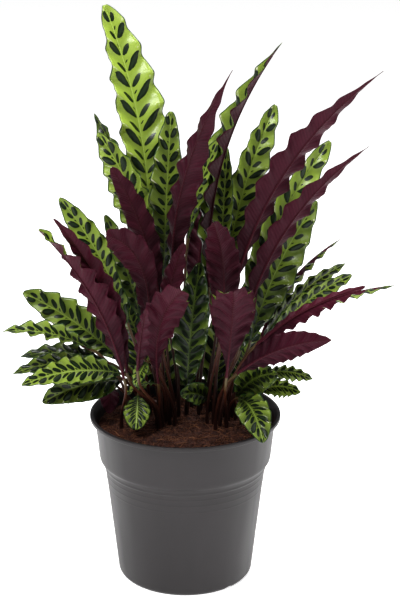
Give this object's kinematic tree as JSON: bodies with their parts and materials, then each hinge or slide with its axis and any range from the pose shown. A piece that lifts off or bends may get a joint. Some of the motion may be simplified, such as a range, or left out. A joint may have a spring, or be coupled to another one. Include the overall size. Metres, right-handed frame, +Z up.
{
  "type": "potted calathea",
  "caption": "Potted rattlesnake calathea: narrow wavy leaves, patterned green above and wine-purple below, rising from bare soil in a tapered dark grey nursery pot.",
  "frame": {"origin": "centre of the flat underside of the pot, on the surface it stands on", "axes": "+Z up along the pot's axis; -Y is the front, where the soil is bare; +X is to the right seen from the front"},
  "size_m": [0.409, 0.277, 0.618],
  "materials": {
    "pot_plastic": "dark grey injection-moulded polypropylene with a soft sheen and faint stacking lines",
    "potting_soil": "dark brown peat and coir with reddish fibres and crumbs",
    "leaf": "fresh leaf: light green with dark green ovals either side of the midrib above, satin wine-purple below, red-brown petiole"
  },
  "bodies": {
    "root": {"pot": "pot_plastic", "soil": "potting_soil", "leaf_crown_1": "leaf", "leaf_crown_10": "leaf", "leaf_crown_2": "leaf", "leaf_crown_3": "leaf", "leaf_crown_4": "leaf", "leaf_crown_5": "leaf", "leaf_crown_6": "leaf", "leaf_crown_7": "leaf", "leaf_crown_8": "leaf", "leaf_crown_9": "leaf", "leaf_front_1": "leaf", "leaf_front_10": "leaf", "leaf_front_11": "leaf", "leaf_front_2": "leaf", "leaf_front_3": "leaf", "leaf_front_4": "leaf", "leaf_front_5": "leaf", "leaf_front_6": "leaf", "leaf_front_7": "leaf", "leaf_front_8": "leaf", "leaf_front_9": "leaf", "leaf_left_1": "leaf", "leaf_left_10": "leaf", "leaf_left_11": "leaf", "leaf_left_12": "leaf", "leaf_left_13": "leaf", "leaf_left_2": "leaf", "leaf_left_3": "leaf", "leaf_left_4": "leaf", "leaf_left_5": "leaf", "leaf_left_6": "leaf", "leaf_left_7": "leaf", "leaf_left_8": "leaf", "leaf_left_9": "leaf", "leaf_rear_1": "leaf", "leaf_rear_2": "leaf", "leaf_rear_3": "leaf", "leaf_rear_4": "leaf", "leaf_rear_5": "leaf", "leaf_rear_6": "leaf", "leaf_rear_7": "leaf", "leaf_rear_8": "leaf", "leaf_rear_9": "leaf", "leaf_right_1": "leaf", "leaf_right_10": "leaf", "leaf_right_11": "leaf", "leaf_right_12": "leaf", "leaf_right_13": "leaf", "leaf_right_14": "leaf", "leaf_right_2": "leaf", "leaf_right_3": "leaf", "leaf_right_4": "leaf", "leaf_right_5": "leaf", "leaf_right_6": "leaf", "leaf_right_7": "leaf", "leaf_right_8": "leaf", "leaf_right_9": "leaf"}
  },
  "joints": []
}
